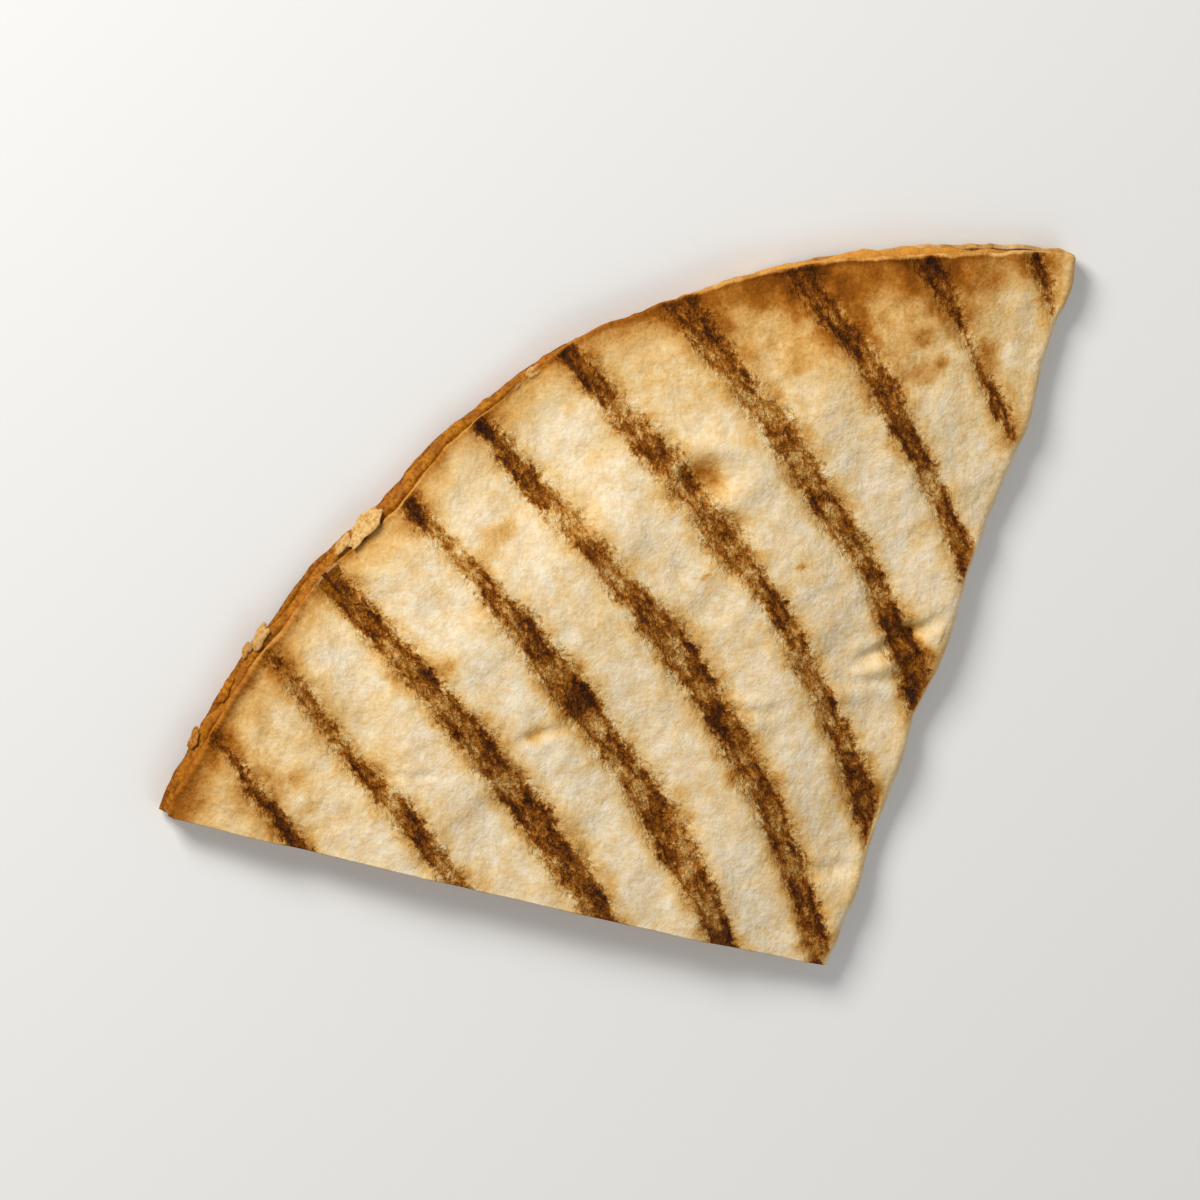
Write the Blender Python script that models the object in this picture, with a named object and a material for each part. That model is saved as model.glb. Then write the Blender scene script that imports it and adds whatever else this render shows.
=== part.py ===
"""A grilled quesadilla wedge: a round flour tortilla folded in half over melted cheese and cut in two.

The wedge lies flat with its grilled face up. Its straight fold runs along +Y on the +X side, its straight
cut faces -Y, and its round open edge is on the far side of both. The origin is the bottom centre of its box.
"""

import math

import bpy
import numpy as np
from mathutils import Matrix

MM = 0.001

# Driving sizes, in millimetres.
TORTILLA_RADIUS = 125.0
TORTILLA_THICKNESS = 1.8
RIM_THICKNESS_SHARE = 0.75
FOLD_GAP = 2.2
PINCHED_GAP = 1.0
PINCH_LENGTH = 26.0
ARC_GAP = 1.8
MIDDLE_GAP = 4.6
ARC_EASE = 34.0
FOLD_EASE = 30.0
EDGE_CURL = 0.9
CURL_WIDTH = 26.0
FILLING_CLEARANCE = 0.3
FILLING_CUT_INSET = 0.5

# How far the round edge of the upper layer strays from a true circle: degrees from the cut, millimetres.
UPPER_EDGE = ((0, 3.0), (10, 1.4), (20, -1.2), (28, -2.9), (37, -1.4), (47, 1.9), (58, 0.4), (67, -0.4),
              (78, -0.5), (90, 1.6))
# How much further out the lower layer reaches than the upper one, at the same angles.
LOWER_EXTRA = ((0, 0.0), (12, 0.4), (26, 1.0), (38, 0.3), (48, -1.8), (58, -1.6), (68, -0.3), (78, 0.6),
               (90, 0.0))
# How far the filling stays back from the shorter of the two layers, and below 0 where it has run out.
FILLING_INSET = ((0, 0.8), (6, -0.3), (11, 0.5), (15, -0.6), (20, 0.5), (25, -0.8), (31, 0.4), (40, -0.2),
                 (50, 1.6), (60, 2.2), (70, 0.8), (80, 3.0), (90, 9.0))
# How far the fold strays outwards: millimetres from the cut, millimetres.
FOLD_LINE = ((0, -0.2), (27, 0.3), (43, -0.4), (58, 0.2), (71, -0.5), (84, 0.5), (99, 0.8), (111, -0.1),
             (119, 0.2), (128, -1.2))
# Lumps and hollows under the upper layer: x and y from the square corner, height, radius.
LUMPS = (
    (-72, 46, 0.9, 24),
    (-26, 74, -0.7, 13),
    (-46, 98, 0.7, 15),
    (-34, 38, 0.8, 17),
    (-98, 22, -0.6, 15),
    (-16, 20, 0.5, 12),
    (-88, 70, -0.5, 14),
    (-14, 98, 0.5, 10),
)

# Faceting.
BEND_STEPS = 4
LAYER_STEPS = 34
ROWS = 22
FILLING_STEPS = 26
FILLING_ROWS = 14


def smooth_through(knots, at):
    """The value at a place along a list of (place, value) knots, eased with a cosine between them."""
    places, values = np.array(knots, float).T
    at = np.clip(at, places[0], places[-1])
    right = np.clip(np.searchsorted(places, at), 1, len(places) - 1)
    share = (at - places[right - 1]) / (places[right] - places[right - 1])
    eased = (1 - np.cos(math.pi * share)) / 2
    return values[right - 1] + (values[right] - values[right - 1]) * eased


def ease(distance, width):
    """0 at an edge, rising smoothly to 1 once the distance from it reaches the width."""
    share = np.clip(distance / width, 0, 1)
    return share * share * (3 - 2 * share)


def upper_radius(angle):
    return TORTILLA_RADIUS + smooth_through(UPPER_EDGE, angle)


def lower_radius(angle):
    return upper_radius(angle) + smooth_through(LOWER_EXTRA, angle)


def filling_radius(angle):
    return np.minimum(upper_radius(angle), lower_radius(angle)) - smooth_through(FILLING_INSET, angle)


def fold_gap(y):
    """The space inside the fold, pinched towards the round edge."""
    return PINCHED_GAP + (FOLD_GAP - PINCHED_GAP) * ease(TORTILLA_RADIUS - y, PINCH_LENGTH)


def bend_radius(y):
    """Radius of the fold at the middle of the sheet."""
    return (TORTILLA_THICKNESS + fold_gap(y)) / 2


def bend_start(y):
    """Where the flat layers begin to turn into the fold."""
    return smooth_through(FOLD_LINE, y) - TORTILLA_THICKNESS / 2 - bend_radius(y)


def gap_between_layers(x, y):
    """The space for the filling between the two layers."""
    inward = ease(bend_start(y) - x, FOLD_EASE)
    from_arc = ease(TORTILLA_RADIUS - np.hypot(x, y), ARC_EASE)
    edge_gap = fold_gap(y) + (ARC_GAP - fold_gap(y)) * inward
    lumps = sum(h * np.exp(-((x - lx) ** 2 + (y - ly) ** 2) / (r * r)) for lx, ly, h, r in LUMPS)
    return edge_gap + (MIDDLE_GAP - edge_gap + lumps) * inward * from_arc


def curl(x, y):
    """How far the round edge lifts off the surface that the wedge lies on."""
    angle = np.arctan2(y, -x)
    uneven = 0.5 + 0.5 * np.sin(5 * angle + 0.7)
    return EDGE_CURL * uneven * ease(np.hypot(x, y) - (TORTILLA_RADIUS - CURL_WIDTH), CURL_WIDTH)


def folded(s, y):
    """Where a point of the flat half disc goes. s is its distance from the fold, below 0 above."""
    radius = bend_radius(y)
    turn = np.clip(s / radius, -math.pi / 2, math.pi / 2)
    straight = np.maximum(np.abs(s) - math.pi * radius / 2, 0)
    x = bend_start(y) + radius * np.cos(turn) - straight
    z = TORTILLA_THICKNESS / 2 + radius - radius * np.sin(turn) + curl(x, y)
    growth = gap_between_layers(x, y) - fold_gap(y)
    return x, y, z + np.where(s < 0, growth, 0.0)


def layer_columns(radius_at, sign):
    """Place and length of each column of one layer, from beside the fold to the corner at the rim."""
    half_bend = math.pi * bend_radius(0.0) / 2
    columns = []
    for step in range(1, BEND_STEPS + 1):
        s = half_bend * step / BEND_STEPS
        angle = math.degrees(math.acos(s / TORTILLA_RADIUS))
        columns.append((sign * s, radius_at(angle) * math.sin(math.radians(angle))))
    start = math.degrees(math.acos(half_bend / TORTILLA_RADIUS))
    for step in range(1, LAYER_STEPS + 1):
        angle = start * (1 - step / LAYER_STEPS)
        radius = radius_at(angle)
        turn = math.radians(angle)
        columns.append((sign * radius * math.cos(turn), radius * math.sin(turn)))
    return columns


def grid_mesh(name, columns, rows, place):
    """A sheet of quads. Each column runs from the cut to the rim, and one of no length is a corner."""
    points, faces, ids = [], [], []
    for s, length in columns:
        count = rows + 1 if length > 0 else 1
        ids.append([len(points) + row for row in range(count)])
        for row in range(count):
            points.append([float(c) * MM for c in place(s, length * row / rows)])
    for left, right in zip(ids, ids[1:]):
        for row in range(rows):
            low_left, high_left = left[min(row, len(left) - 1)], left[min(row + 1, len(left) - 1)]
            low_right, high_right = right[min(row, len(right) - 1)], right[min(row + 1, len(right) - 1)]
            faces.append(list(dict.fromkeys((low_left, low_right, high_right, high_left))))
    mesh = bpy.data.meshes.new(name)
    mesh.from_pydata(points, [], faces)
    mesh.shade_smooth()
    return mesh


def thicken(obj, thickness, shares):
    """Gives a sheet its thickness, evenly to both sides, as a share of the full one at each vertex."""
    group = obj.vertex_groups.new(name="thickness")
    for vertex, share in zip(obj.data.vertices, shares):
        group.add([vertex.index], share, "REPLACE")
    solid = obj.modifiers.new("Thickness", "SOLIDIFY")
    solid.thickness = thickness * MM
    solid.offset = 0
    solid.vertex_group = group.name


def material(name, colour, roughness):
    made = bpy.data.materials.new(name)
    made.use_nodes = True
    shader = made.node_tree.nodes["Principled BSDF"]
    shader.inputs["Base Color"].default_value = (*colour, 1.0)
    shader.inputs["Roughness"].default_value = roughness
    shader.inputs["Metallic"].default_value = 0.0
    return made


def add_object(name, mesh, finish):
    obj = bpy.data.objects.new(name, mesh)
    bpy.context.scene.collection.objects.link(obj)
    mesh.materials.append(finish)
    return obj


def make_tortilla():
    """Both layers and the fold between them are one sheet, a little thinner at its round rim."""
    upper = layer_columns(upper_radius, -1)
    lower = layer_columns(lower_radius, 1)
    middle = (0.0, upper_radius(90.0))
    columns = upper[::-1] + [middle] + lower
    mesh = grid_mesh("tortilla", columns, ROWS, folded)
    tortilla = add_object("tortilla", mesh, material("tortilla", (0.80, 0.62, 0.38), 0.7))
    shares = []
    for _, length in columns:
        if length > 0:
            shares += [1.0] * ROWS + [RIM_THICKNESS_SHARE]
        else:
            shares.append(RIM_THICKNESS_SHARE)
    thicken(tortilla, TORTILLA_THICKNESS, shares)
    return tortilla


def between_layers(s, y):
    """Halfway up between the layers, at a distance s in from the start of the fold, and just inside the cut."""
    y = max(y, FILLING_CUT_INSET)
    x = bend_start(y) - s
    return x, y, TORTILLA_THICKNESS + gap_between_layers(x, y) / 2 + curl(x, y)


def make_filling():
    """Melted cheese, from the cut to just inside the round edge, and in to where the fold starts."""
    columns = []
    for step in range(FILLING_STEPS + 1):
        angle = 90.0 * step / FILLING_STEPS
        radius = filling_radius(angle)
        reach = (radius + bend_start(0.0)) * math.cos(math.radians(angle))
        columns.append((reach, radius * math.sin(math.radians(angle))))
    mesh = grid_mesh("filling", columns, FILLING_ROWS, between_layers)
    filling = add_object("filling", mesh, material("filling", (0.72, 0.32, 0.03), 0.4))
    thickest = MIDDLE_GAP + max(height for _, _, height, _ in LUMPS)
    shares = []
    for vertex in mesh.vertices:
        gap = gap_between_layers(vertex.co.x / MM, vertex.co.y / MM)
        shares.append(float(gap - 2 * FILLING_CLEARANCE) / thickest)
    thicken(filling, thickest, shares)
    return filling


def centre_on_origin(objects):
    """Moves the meshes so that the bottom centre of their common box is the origin."""
    graph = bpy.context.evaluated_depsgraph_get()
    corners = np.array([v.co for o in objects for v in o.evaluated_get(graph).data.vertices])
    low, high = corners.min(0), corners.max(0)
    shift = np.array([-(low[0] + high[0]) / 2, -(low[1] + high[1]) / 2, -low[2]])
    for o in objects:
        o.data.transform(Matrix.Translation(shift))


def main():
    for old in list(bpy.data.objects):
        bpy.data.objects.remove(old)
    centre_on_origin([make_tortilla(), make_filling()])


main()
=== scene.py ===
"""The looks of a grilled quesadilla wedge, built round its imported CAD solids.

Lengths are in millimetres in the wedge's own coordinates until a mesh is made. There, 0, 0 is the square
corner, the wedge lies on the -x side of its fold, y runs along the fold to the pointed tip, and z goes up
from the surface that the wedge rests on. Angles round the open edge are in degrees from the cut.
"""

import math

import bpy
import numpy as np
from mathutils import Matrix, Vector

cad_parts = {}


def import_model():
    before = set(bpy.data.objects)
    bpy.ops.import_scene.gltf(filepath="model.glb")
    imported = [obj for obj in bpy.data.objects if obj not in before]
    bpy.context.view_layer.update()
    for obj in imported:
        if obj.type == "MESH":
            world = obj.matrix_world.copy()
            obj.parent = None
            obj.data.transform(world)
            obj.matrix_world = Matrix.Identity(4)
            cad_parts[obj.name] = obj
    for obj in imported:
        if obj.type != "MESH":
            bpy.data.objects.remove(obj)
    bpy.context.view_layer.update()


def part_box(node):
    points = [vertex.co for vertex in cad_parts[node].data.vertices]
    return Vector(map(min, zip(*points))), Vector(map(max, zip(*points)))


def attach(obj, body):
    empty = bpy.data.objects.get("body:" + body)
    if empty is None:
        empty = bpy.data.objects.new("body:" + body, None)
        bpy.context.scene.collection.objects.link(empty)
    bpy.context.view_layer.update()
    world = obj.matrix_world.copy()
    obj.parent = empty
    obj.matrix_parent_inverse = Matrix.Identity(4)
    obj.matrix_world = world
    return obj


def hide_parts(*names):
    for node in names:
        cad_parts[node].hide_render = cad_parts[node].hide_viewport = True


MM = 0.001
# How far the fold bulges out past the square corner.
FOLD_REACH = 0.8
# The highest that the grilled face may reach, and the height over which it levels off below that.
TOP = 9.0
TOP_EASE = 0.5

# The wedge's body, the same as the CAD solids.
RADIUS = 125.0
THICKNESS = 1.8
RIM_THICKNESS = 1.35
RIM_TAPER = 5.7
FOLD_GAP = 2.2
PINCHED_GAP = 1.0
PINCH_LENGTH = 26.0
ARC_GAP = 1.8
MIDDLE_GAP = 4.6
ARC_EASE = 34.0
FOLD_EASE = 30.0
EDGE_CURL = 0.9
CURL_WIDTH = 26.0
# How far the round edge of the upper layer strays from a true circle: degrees, millimetres.
UPPER_EDGE = ((0, 3.0), (10, 1.4), (20, -1.2), (28, -2.9), (37, -1.4), (47, 1.9), (58, 0.4), (67, -0.4),
              (78, -0.5), (90, 1.6))
# How much further out the lower layer reaches.
LOWER_EXTRA = ((0, 0.0), (12, 0.4), (26, 1.0), (38, 0.3), (48, -1.8), (58, -1.6), (68, -0.3), (78, 0.6),
               (90, 0.0))
# How far the filling stays back from the shorter of the two layers.
FILLING_INSET = ((0, 0.8), (6, -0.3), (11, 0.5), (15, -0.6), (20, 0.5), (25, -0.8), (31, 0.4), (40, -0.2),
                 (50, 1.6), (60, 2.2), (70, 0.8), (80, 3.0), (90, 9.0))
# How far the fold strays outwards: millimetres from the cut, millimetres.
FOLD_LINE = ((0, -0.2), (27, 0.3), (43, -0.4), (58, 0.2), (71, -0.5), (84, 0.5), (99, 0.8), (111, -0.1),
             (119, 0.2), (128, -1.2))
# Lumps and hollows under the upper layer: x, y, height, radius.
LUMPS = (
    (-72, 46, 0.9, 24),
    (-26, 74, -0.7, 13),
    (-46, 98, 0.7, 15),
    (-34, 38, 0.8, 17),
    (-98, 22, -0.6, 15),
    (-16, 20, 0.5, 12),
    (-88, 70, -0.5, 14),
    (-14, 98, 0.5, 10),
)

# How fine the meshes are: steps across one layer and along it, and round the open and cut edges.
ACROSS = 150
ALONG = 140
RIM_STEPS = 5
FILLING_STEPS = 100
FILLING_EDGE_STEPS = 7
# Columns crowd together near the fold: how much closer, over what share of the radius.
FOLD_CROWDING = 2.2
CROWDED_SHARE = 0.035
# The narrow strips that hold the edges, as shares of the radius.
RIM_STRIP = 0.0025
ALONG_STRIP = 0.0016
FILLING_STRIP = 0.003

# The length in millimetres of a degree of the round edge, for its unevenness.
DEGREE = 2.2
# How far the sheet's own lip rounds outwards, as a share of its thickness there.
LIP_REACH = 0.46
# The cheese keeps this far from the dough, stays this far back at the rim, and swells out by this much.
CHEESE_GAP = 0.03
CHEESE_INSET = 0.55
CHEESE_SWELL = 0.65
# A value of the "rim" field far from the rim, where nothing is browned by it.
FAR_FROM_RIM = 30.0

# Grill marks: their direction, spacing and slow bending as a phase that is a whole number on each mark.
# The bending is a sum of terms: factor, power of x and power of y, with both in tenths of a metre.
MARK_ANGLE = math.radians(-37)
MARK_SPACING = 17.5
PHASE = ((4.136, 0, 0), (3.734, 0, 1), (0.818, 0, 2), (-0.326, 0, 3), (5.423, 1, 0), (-1.189, 1, 1),
         (0.601, 1, 2), (2.342, 2, 0), (0.15, 2, 1), (0.952, 3, 0))
UNDER_MARK_WIDTH = 5.6
# For each mark, knots along it: place along the mark's direction, width, strength.
MARKS = (
    ((-112, 3.2, 1.15), (-100, 2.8, 0.95), (-90, 3.6, 1.0)),
    ((-119, 2.8, 1.0), (-112, 2.2, 0.9), (-104, 3.8, 1.1), (-96, 3.2, 0.65), (-90, 3.8, 0.8), (-78, 4.4, 0.9)),
    ((-120, 4.4, 0.75), (-104, 5.2, 0.9), (-88, 5.0, 1.1), (-70, 6.4, 1.15), (-50, 6.0, 1.0)),
    ((-120, 4.2, 0.8), (-108, 3.6, 0.6), (-90, 5.0, 0.9), (-76, 6.4, 1.25), (-62, 5.6, 0.95), (-44, 6.2, 1.1)),
    ((-122, 3.8, 0.85), (-106, 4.8, 0.7), (-86, 5.0, 0.7), (-70, 6.8, 1.1), (-52, 5.4, 1.3), (-30, 5.6, 1.1)),
    ((-122, 4.0, 0.55), (-106, 4.6, 0.75), (-92, 5.6, 0.9), (-80, 5.6, 1.05), (-68, 4.2, 0.85), (-55, 4.4, 0.9),
     (-40, 4.8, 1.1), (-24, 5.8, 1.3)),
    ((-118, 6.2, 0.92), (-100, 4.6, 0.8), (-84, 6.0, 0.85), (-72, 5.8, 0.95), (-56, 4.8, 0.9), (-38, 6.4, 1.4)),
    ((-106, 5.2, 0.9), (-84, 4.6, 0.95), (-72, 5.0, 0.8), (-58, 4.6, 0.7), (-44, 5.8, 1.0)),
    ((-94, 5.0, 0.8), (-88, 4.4, 0.9), (-82, 2.4, 0.85), (-74, 2.6, 0.85), (-66, 3.6, 0.9), (-50, 3.0, 0.7)),
    ((-84, 3.0, 1.0), (-64, 2.4, 0.85)),
)

# Low relief: the depth of a mark and of the swelling beside it, and the swelling round hollows and beside
# creases as a share of their depth.
MARK_DEPTH = 0.34
MARK_RIDGE = 0.10
UNDER_MARK_DEPTH = 0.22
HOLLOW_RIDGE = 0.35
CREASE_RIDGE = 0.45
# The grilled face's relief is lowered by this much on the whole, and the underside's by this much.
UPPER_DROP = 0.5
UNDER_DROP = 0.03
# Puckers along the fold: height, length of one over 2 pi, and how far in they reach.
PUCKER_HEIGHT = 0.35
PUCKER_LENGTH = 4.1
PUCKER_REACH = 16.0
# Hollows in the grilled face: x, y, depth, half length, half width, turn in degrees.
HOLLOWS = (
    (-54.3, 76.3, 1.1, 4.2, 2.8, 20),
    (-71.0, 27.5, 0.35, 3.8, 1.7, 60),
    (-29.5, 88.0, 0.8, 7.5, 4.2, -50),
    (-45.8, 57.0, 0.35, 5.0, 2.6, 70),
    (-20.0, 52.0, 0.5, 6.0, 3.0, 20),
    (-90.0, 46.0, 0.3, 7.0, 3.5, -30),
)
# Creases: start, end, depth (a ridge where it is below 0), half width.
CREASES = (
    (-117.0, 46.0, -101.5, 40.2, -0.55, 0.8),
    (-18.0, 50.0, -3.0, 62.5, 0.95, 1.2),
    (-12.0, 60.5, -2.0, 57.0, 0.6, 1.0),
    (-24.0, 46.5, -8.0, 50.0, 0.45, 1.2),
    (-38.0, 38.5, -27.0, 41.0, 0.4, 0.8),
    (-75.0, 25.0, -64.0, 31.0, 0.4, 0.8),
    (-98.0, 14.0, -84.0, 17.5, 0.25, 0.6),
    (-12.0, 33.0, -1.0, 29.0, 0.4, 1.0),
    (-14.0, 14.0, -1.0, 18.0, 0.4, 1.0),
    (-9.0, 84.0, -0.5, 80.0, 0.3, 0.8),
    (-60.0, 62.0, -49.0, 58.0, 0.25, 0.7),
)
# Browned spots: x, y, half size, strength. The first two sit in the hollow at -54.3, 76.3 and darken it partly
# with real browning and partly as painted shade.
SPOTS = (
    (-55.4, 77.4, 2.6, 0.95),
    (-52.4, 75.6, 1.8, 0.45),
    (-89.5, 36.3, 1.9, 0.75),
    (-88.9, 57.0, 2.6, 0.5),
    (-86.2, 60.0, 1.7, 0.5),
    (-107.5, 11.3, 2.4, 0.5),
    (-104.0, 7.6, 1.6, 0.4),
    (-46.9, 97.9, 2.6, 0.4),
    (-25.2, 107.1, 1.8, 0.85),
    (-20.5, 104.0, 1.3, 0.8),
    (-22.8, 100.8, 2.2, 0.5),
    (-70.5, 28.5, 2.0, 0.7),
    (-33.8, 65.6, 0.7, 0.9),
    (-49.6, 60.0, 0.6, 1.0),
    (-60.5, 71.0, 2.6, 0.3),
    (-12.0, 108.0, 2.0, 0.4),
    (-40.0, 24.0, 1.6, 0.3),
)
# Bits of crusted cheese and a pale flake on the open edge: degrees from the cut, distance past the cheese,
# height, half sizes along the rim, outwards and up, paleness, and how far the bit tips outwards in degrees.
BITS = (
    (26.2, 0.1, 4.3, 3.8, 1.7, 0.35, 1.0, 58),
    (24.2, 0.1, 3.5, 2.0, 1.1, 0.35, 0.8, 66),
    (14.9, 0.2, 3.4, 2.0, 1.2, 0.50, 0.7, 60),
    (13.6, 0.4, 2.6, 1.2, 0.8, 0.50, 0.5, 66),
    (10.2, 0.2, 2.6, 2.2, 0.9, 0.40, 0.0, 70),
    (6.0, 0.2, 2.9, 1.8, 0.9, 0.40, 0.1, 70),
    (43.6, -0.5, 3.6, 1.3, 0.9, 0.50, 0.8, 45),
    (33.5, 0.1, 2.6, 2.0, 0.7, 0.35, 0.0, 70),
)
BIT_TURNS = 20
BIT_LEVELS = 12

# The camera looks at a point of the row's frame, in metres, along the photograph's viewing direction.
CAMERA_AIM = Vector((-0.001, -0.012, 0.004))
CAMERA_BACK = Vector((-0.4745, 0.1929, 0.8588))
CAMERA_UP = Vector((-0.203, 0.9254, -0.32))
CAMERA_DISTANCE = 2.83
CAMERA_LENS = 520.0
CAMERA_SENSOR = 36.0
CAMERA_FARTHEST = 20.0

FLOOR_HALF = 3.0
FLOOR_COLOUR = (0.86, 0.86, 0.85, 1)
WORLD_STRENGTH = 0.34
# Lights: name, direction that it stands in, distance, size, power, colour.
LIGHTS = (
    ("key", (-0.74, 0.42, 0.45), 1.2, 0.35, 16.5, (1.0, 0.98, 0.94)),
    ("fill", (0.5, -0.5, 0.8), 1.4, 1.0, 2.0, (1.0, 1.0, 1.0)),
)


def srgb(red, green, blue):
    """A colour as it looks, 0 to 255, as the linear values that a shader takes."""
    shares = [channel / 255 for channel in (red, green, blue)]
    return tuple(c / 12.92 if c <= 0.04045 else ((c + 0.055) / 1.055) ** 2.4 for c in shares) + (1.0,)


CREAM = srgb(241, 225, 196)
WARM_CREAM = srgb(233, 208, 166)
AMBER = srgb(148, 92, 8)
RIM_BROWN = srgb(112, 58, 6)
CRUMB = srgb(236, 216, 174)
SPECK = srgb(56, 34, 34)
CHEESE_ORANGE = srgb(170, 106, 10)
CHEESE_DEEP = srgb(144, 82, 5)
CHEESE_CRUST = srgb(104, 54, 6)
# Brighter cheese towards the pointed tip, partly its own colour and partly painted highlight, and on the cut
# face.
CHEESE_BRIGHT = srgb(236, 178, 84)
CHEESE_BRIGHT_DEEP = srgb(196, 116, 24)
FLAKE = srgb(198, 164, 106)
FLAKE_DEEP = srgb(168, 116, 46)
# What browning leaves of the dough's colour, from none to burnt.
BAKED = ((0.0, (1.0, 1.0, 1.0, 1)), (0.14, (0.95, 0.83, 0.60, 1)), (0.28, (0.81, 0.57, 0.26, 1)),
         (0.41, (0.60, 0.33, 0.10, 1)), (0.49, (0.46, 0.20, 0.028, 1)), (0.58, (0.33, 0.118, 0.008, 1)),
         (0.75, (0.15, 0.047, 0.003, 1)), (1.0, (0.045, 0.015, 0.003, 1)))


# Plain helpers.


def smooth_through(knots, at):
    """The value at a place along a list of (place, value) knots, eased with a cosine between them."""
    places, values = np.array(knots, float).T
    at = np.clip(at, places[0], places[-1])
    right = np.clip(np.searchsorted(places, at), 1, len(places) - 1)
    share = (at - places[right - 1]) / (places[right] - places[right - 1])
    eased = (1 - np.cos(math.pi * share)) / 2
    return values[right - 1] + (values[right] - values[right - 1]) * eased


def ease(distance, width):
    """0 at an edge, rising smoothly to 1 once the distance from it reaches the width."""
    share = np.clip(distance / width, 0, 1)
    return share * share * (3 - 2 * share)


def bell(distance, width, power=2):
    """1 in the middle, falling to almost nothing past the width."""
    return np.exp(-((distance / width) ** power))


def noise(x, y, cell, seed):
    """Smooth random height between -1 and 1, with bumps about as wide as the cell."""
    size = 128
    table = np.random.default_rng(seed).uniform(-1, 1, (size, size))
    i, j = np.floor(x / cell).astype(int), np.floor(y / cell).astype(int)
    u, v = x / cell - i, y / cell - j
    u, v = u * u * (3 - 2 * u), v * v * (3 - 2 * v)

    def corner(a, b):
        return table[(i + a) % size, (j + b) % size]

    low = corner(0, 0) * (1 - u) + corner(1, 0) * u
    high = corner(0, 1) * (1 - u) + corner(1, 1) * u
    return low * (1 - v) + high * v


# The wedge's body.


def upper_radius(angle):
    return RADIUS + smooth_through(UPPER_EDGE, angle)


def lower_radius(angle):
    return upper_radius(angle) + smooth_through(LOWER_EXTRA, angle)


def filling_radius(angle):
    return np.minimum(upper_radius(angle), lower_radius(angle)) - smooth_through(FILLING_INSET, angle)


def fold_gap(y):
    """The space inside the fold, pinched towards the round edge."""
    return PINCHED_GAP + (FOLD_GAP - PINCHED_GAP) * ease(RADIUS - y, PINCH_LENGTH)


def bend_radius(y):
    """Radius of the fold at the middle of the sheet."""
    return (THICKNESS + fold_gap(y)) / 2


def bend_start(y):
    """Where the flat layers begin to turn into the fold."""
    return smooth_through(FOLD_LINE, y) - THICKNESS / 2 - bend_radius(y)


def gap_between_layers(x, y):
    """The space for the filling between the two layers."""
    inward = ease(bend_start(y) - x, FOLD_EASE)
    from_arc = ease(RADIUS - np.hypot(x, y), ARC_EASE)
    edge_gap = fold_gap(y) + (ARC_GAP - fold_gap(y)) * inward
    lumps = sum(h * np.exp(-((x - lx) ** 2 + (y - ly) ** 2) / (r * r)) for lx, ly, h, r in LUMPS)
    return edge_gap + (MIDDLE_GAP - edge_gap + lumps) * inward * from_arc


def curl(x, y):
    """How far the round edge lifts off the surface that the wedge lies on."""
    angle = np.arctan2(y, -x)
    uneven = 0.5 + 0.5 * np.sin(5 * angle + 0.7)
    return EDGE_CURL * uneven * ease(np.hypot(x, y) - (RADIUS - CURL_WIDTH), CURL_WIDTH)


def half_thickness(from_rim):
    """Half the sheet's thickness, less near the rim."""
    return THICKNESS / 2 * (1 - (1 - RIM_THICKNESS / THICKNESS) * (1 - ease(from_rim, RIM_TAPER)))


def folded(s, y):
    """Where a point of the flat half disc goes. s is its distance from the fold, below 0 above."""
    radius = bend_radius(y)
    turn = np.clip(s / radius, -math.pi / 2, math.pi / 2)
    straight = np.maximum(np.abs(s) - math.pi * radius / 2, 0)
    x = bend_start(y) + radius * np.cos(turn) - straight
    z = THICKNESS / 2 + radius - radius * np.sin(turn) + curl(x, y)
    growth = gap_between_layers(x, y) - fold_gap(y)
    return np.stack([x, y, z + np.where(s < 0, growth, 0.0)], axis=-1)


def sheet_normal(s, y):
    """Which way the outer side of the folded sheet faces."""
    step = 0.05
    along_s = folded(s + step, y) - folded(s - step, y)
    along_y = folded(s, y + step) - folded(s, y - step)
    normal = np.cross(along_s, along_y)
    return normal / np.linalg.norm(normal, axis=-1, keepdims=True)


# Grill marks and low relief.


def along_mark(x, y):
    return x * math.cos(MARK_ANGLE) + y * math.sin(MARK_ANGLE)


def across_mark(x, y):
    return -x * math.sin(MARK_ANGLE) + y * math.cos(MARK_ANGLE)


def phase_at(x, y):
    """A whole number on the middle of each grill mark of the upper face."""
    value = sum(c * (x / 100) ** px * (y / 100) ** py for c, px, py in PHASE)
    a, b = along_mark(x, y), across_mark(x, y)
    return value + 0.035 * noise(a / 1.6, b, 7.0, seed=11) + 0.02 * noise(a / 1.6, b, 3.0, seed=12)


def under_phase_at(x, y):
    """The same for the underside, whose marks run straighter."""
    first_mark = 4
    return (across_mark(x, y) + first_mark + 0.8 * noise(x, y, 9.0, seed=13)) / MARK_SPACING


def from_mark(phase):
    """Distance from the middle of the nearest grill mark."""
    return np.abs(phase - np.round(phase)) * MARK_SPACING


def mark_knots(phase, x, y):
    """Width and strength of the nearest grill mark of the upper face."""
    nearest = np.round(phase)
    width, strength = np.full(x.shape, 4.0), np.zeros(x.shape)
    for index, knots in enumerate(MARKS):
        places = [(place, size) for place, size, _ in knots]
        powers = [(place, power) for place, _, power in knots]
        chosen = nearest == index
        width[chosen] = smooth_through(places, along_mark(x, y)[chosen])
        strength[chosen] = smooth_through(powers, along_mark(x, y)[chosen])
    return width, strength


def crease_distance(x, y, x0, y0, x1, y1):
    """Distance from a straight crease, and 1 along it fading to 0 at its ends."""
    length2 = (x1 - x0) ** 2 + (y1 - y0) ** 2
    share = ((x - x0) * (x1 - x0) + (y - y0) * (y1 - y0)) / length2
    inside = np.clip(share, 0, 1)
    away = np.hypot(x - x0 - inside * (x1 - x0), y - y0 - inside * (y1 - y0))
    return away, np.sin(math.pi * np.clip(share, 0.02, 0.98)) ** 0.6


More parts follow.
